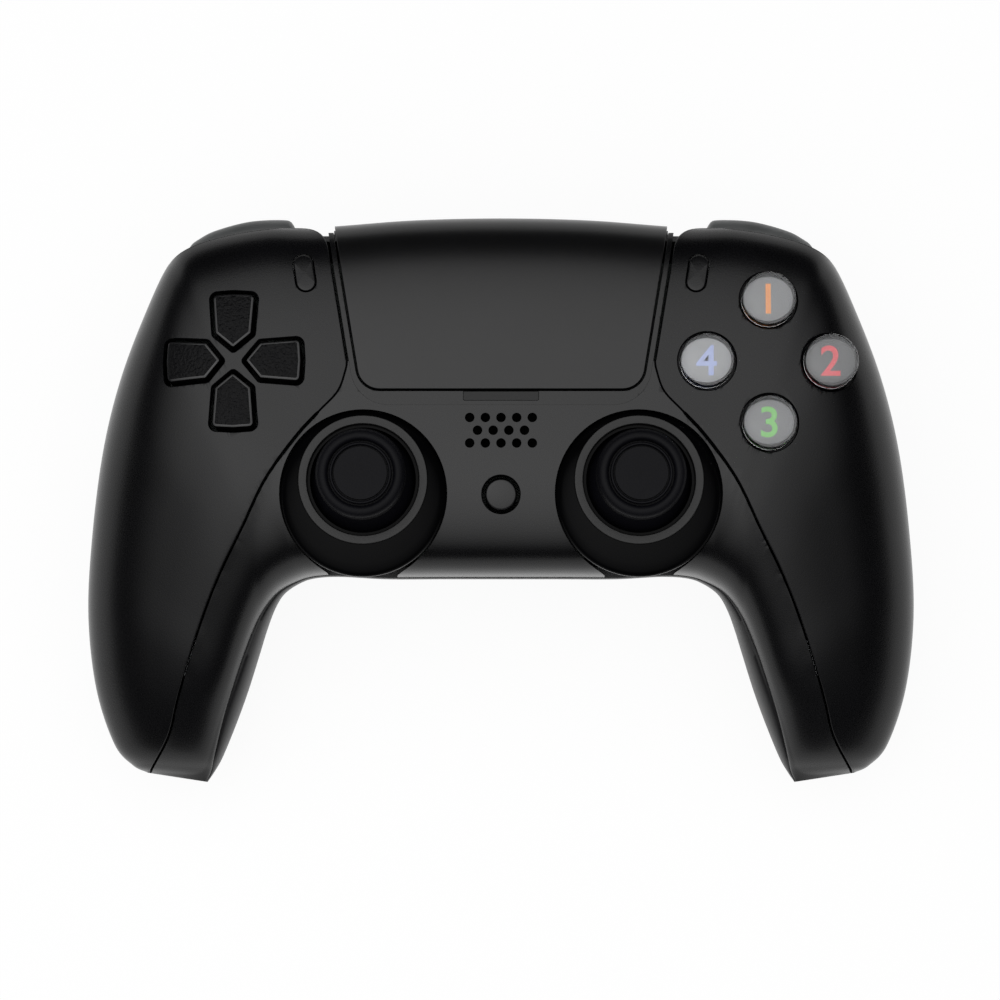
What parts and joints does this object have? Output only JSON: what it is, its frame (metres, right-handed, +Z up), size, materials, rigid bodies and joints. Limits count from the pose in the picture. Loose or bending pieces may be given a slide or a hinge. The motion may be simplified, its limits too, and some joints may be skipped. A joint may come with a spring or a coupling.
{
  "type": "gamepad controller",
  "caption": "Two-handed gamepad with flowing grips, twin thumb sticks, four-way pad, round face buttons, touchpad, bumpers and swinging triggers.",
  "frame": {"origin": "centre of the bounding box on the table plane, under the middle of the body", "axes": "+X to the player's right, +Y away from the player towards the triggers, +Z up out of the button face"},
  "size_m": [0.16, 0.1077, 0.065],
  "materials": {
    "cover_black": "satin black moulded plastic",
    "fascia_black": "semi-gloss black moulded plastic",
    "rear_black": "fine-textured black plastic",
    "touchpad_black": "smooth satin black plastic",
    "light_guide_smoke": "smoked light-guide plastic",
    "bumper_grey": "dark grey satin plastic",
    "trigger_black": "textured black plastic",
    "key_black": "grained black plastic",
    "button_black": "satin black plastic",
    "clear_button": "clear cap over a grey printed disc",
    "ring_grey": "grey satin plastic",
    "stick_rubber": "soft black rubber",
    "membrane_rubber": "grey silicone rubber",
    "circuit_board": "green solder mask",
    "battery_wrap": "grey film wrap",
    "inner_plastic": "dark grey moulded plastic",
    "steel": "bright steel"
  },
  "bodies": {
    "case": {"left_wing_cover": "cover_black", "right_wing_cover": "cover_black", "centre_fascia": "fascia_black", "rear_shell": "rear_black", "light_guide": "light_guide_smoke", "indicator_window": "light_guide_smoke", "trigger_pins": "steel", "left_trigger_spring": "steel", "right_trigger_spring": "steel", "d_pad_membrane": "membrane_rubber", "face_membrane": "membrane_rubber", "left_stick_ring": "ring_grey", "right_stick_ring": "ring_grey", "left_stick_housing": "steel", "right_stick_housing": "steel", "left_stick_sensors": "circuit_board", "right_stick_sensors": "circuit_board", "stick_switches": "inner_plastic", "main_board": "circuit_board", "inner_frame": "inner_plastic", "battery": "battery_wrap", "port_board": "circuit_board", "charging_socket": "steel", "headphone_jack": "inner_plastic", "loudspeaker": "inner_plastic", "left_motor": "steel", "right_motor": "steel", "tact_switches": "inner_plastic", "bumper_switches": "inner_plastic", "rear_screws": "steel", "board_screws": "steel"},
    "touchpad": {"touchpad": "touchpad_black"},
    "left_bumper": {"left_bumper": "bumper_grey"},
    "right_bumper": {"right_bumper": "bumper_grey"},
    "left_trigger": {"left_trigger": "trigger_black"},
    "right_trigger": {"right_trigger": "trigger_black"},
    "d_pad_pivot": {"d_pad_pivot": "steel"},
    "d_pad": {"d_pad": "key_black"},
    "face_button_north": {"face_button_north": "clear_button"},
    "face_button_east": {"face_button_east": "clear_button"},
    "face_button_south": {"face_button_south": "clear_button"},
    "face_button_west": {"face_button_west": "clear_button"},
    "create_button": {"create_button": "button_black"},
    "options_button": {"options_button": "button_black"},
    "home_button": {"home_button": "button_black"},
    "left_stick_gimbal": {"left_stick_gimbal": "steel"},
    "left_stick_pivot": {"left_stick_pivot": "inner_plastic"},
    "left_stick": {"left_stick_cap": "stick_rubber", "left_stick_lever": "steel"},
    "right_stick_gimbal": {"right_stick_gimbal": "steel"},
    "right_stick_pivot": {"right_stick_pivot": "inner_plastic"},
    "right_stick": {"right_stick_cap": "stick_rubber", "right_stick_lever": "steel"},
    "left_motor_weight": {"left_motor_weight": "steel"},
    "right_motor_weight": {"right_motor_weight": "steel"}
  },
  "joints": [
    {"name": "touchpad_press", "type": "hinge", "parent": "case", "child": "touchpad", "pos_m": [0, 0.05, 0.04], "axis": [1, 0, 0], "range_deg": [0, 1], "stiffness_Nm_per_rad": 3},
    {"name": "face_button_north_press", "type": "slide", "parent": "case", "child": "face_button_north", "axis": [0, 0, -1], "range_m": [0, 0.0012], "stiffness_N_per_m": 300, "deforming": ["face_membrane"]},
    {"name": "face_button_east_press", "type": "slide", "parent": "case", "child": "face_button_east", "axis": [0, 0, -1], "range_m": [0, 0.0012], "stiffness_N_per_m": 300, "deforming": ["face_membrane"]},
    {"name": "face_button_south_press", "type": "slide", "parent": "case", "child": "face_button_south", "axis": [0, 0, -1], "range_m": [0, 0.0012], "stiffness_N_per_m": 300, "deforming": ["face_membrane"]},
    {"name": "face_button_west_press", "type": "slide", "parent": "case", "child": "face_button_west", "axis": [0, 0, -1], "range_m": [0, 0.0012], "stiffness_N_per_m": 300, "deforming": ["face_membrane"]},
    {"name": "create_button_press", "type": "slide", "parent": "case", "child": "create_button", "axis": [0, 0, -1], "range_m": [0, 0.0006], "stiffness_N_per_m": 500},
    {"name": "options_button_press", "type": "slide", "parent": "case", "child": "options_button", "axis": [0, 0, -1], "range_m": [0, 0.0006], "stiffness_N_per_m": 500},
    {"name": "home_button_press", "type": "slide", "parent": "case", "child": "home_button", "axis": [0, 0, -1], "range_m": [0, 0.0006], "stiffness_N_per_m": 500},
    {"name": "left_bumper_press", "type": "slide", "parent": "case", "child": "left_bumper", "axis": [0, -1, 0], "range_m": [0, 0.001], "stiffness_N_per_m": 800},
    {"name": "right_bumper_press", "type": "slide", "parent": "case", "child": "right_bumper", "axis": [0, -1, 0], "range_m": [0, 0.001], "stiffness_N_per_m": 800},
    {"name": "left_trigger_pull", "type": "hinge", "parent": "case", "child": "left_trigger", "pos_m": [-0.0496, 0.0395, 0.024], "axis": [-1, 0, 0], "range_deg": [0, 22], "stiffness_Nm_per_rad": 0.03, "springref_deg": -11.46, "deforming": ["left_trigger_spring"]},
    {"name": "right_trigger_pull", "type": "hinge", "parent": "case", "child": "right_trigger", "pos_m": [0.0496, 0.0395, 0.024], "axis": [-1, 0, 0], "range_deg": [0, 22], "stiffness_Nm_per_rad": 0.03, "springref_deg": -11.46, "deforming": ["right_trigger_spring"]},
    {"name": "d_pad_up_down", "type": "hinge", "parent": "case", "child": "d_pad_pivot", "pos_m": [-0.0502, 0.0241, 0.043], "axis": [1, 0, 0], "range_deg": [-3.5, 3.5], "stiffness_Nm_per_rad": 0.5, "deforming": ["d_pad_membrane"]},
    {"name": "d_pad_left_right", "type": "hinge", "parent": "d_pad_pivot", "child": "d_pad", "pos_m": [-0.0502, 0.0241, 0.043], "axis": [0, 1, 0], "range_deg": [-3.5, 3.5], "stiffness_Nm_per_rad": 0.5, "deforming": ["d_pad_membrane"]},
    {"name": "left_stick_up_down", "type": "hinge", "parent": "case", "child": "left_stick_gimbal", "pos_m": [-0.0258, 0.0016, 0.043], "axis": [1, 0, 0], "range_deg": [-18, 18], "stiffness_Nm_per_rad": 0.02},
    {"name": "left_stick_left_right", "type": "hinge", "parent": "left_stick_gimbal", "child": "left_stick_pivot", "pos_m": [-0.0258, 0.0016, 0.043], "axis": [0, 1, 0], "range_deg": [-18, 18], "stiffness_Nm_per_rad": 0.02},
    {"name": "left_stick_click", "type": "slide", "parent": "left_stick_pivot", "child": "left_stick", "axis": [0, 0, -1], "range_m": [0, 0.0005], "stiffness_N_per_m": 2000},
    {"name": "right_stick_up_down", "type": "hinge", "parent": "case", "child": "right_stick_gimbal", "pos_m": [0.0258, 0.0016, 0.043], "axis": [1, 0, 0], "range_deg": [-18, 18], "stiffness_Nm_per_rad": 0.02},
    {"name": "right_stick_left_right", "type": "hinge", "parent": "right_stick_gimbal", "child": "right_stick_pivot", "pos_m": [0.0258, 0.0016, 0.043], "axis": [0, 1, 0], "range_deg": [-18, 18], "stiffness_Nm_per_rad": 0.02},
    {"name": "right_stick_click", "type": "slide", "parent": "right_stick_pivot", "child": "right_stick", "axis": [0, 0, -1], "range_m": [0, 0.0005], "stiffness_N_per_m": 2000},
    {"name": "left_motor_spin", "type": "hinge", "parent": "case", "child": "left_motor_weight", "pos_m": [-0.0635, -0.03, 0.017], "axis": [0, 1, 0], "continuous": true},
    {"name": "right_motor_spin", "type": "hinge", "parent": "case", "child": "right_motor_weight", "pos_m": [0.0635, -0.03, 0.017], "axis": [0, 1, 0], "continuous": true}
  ]
}
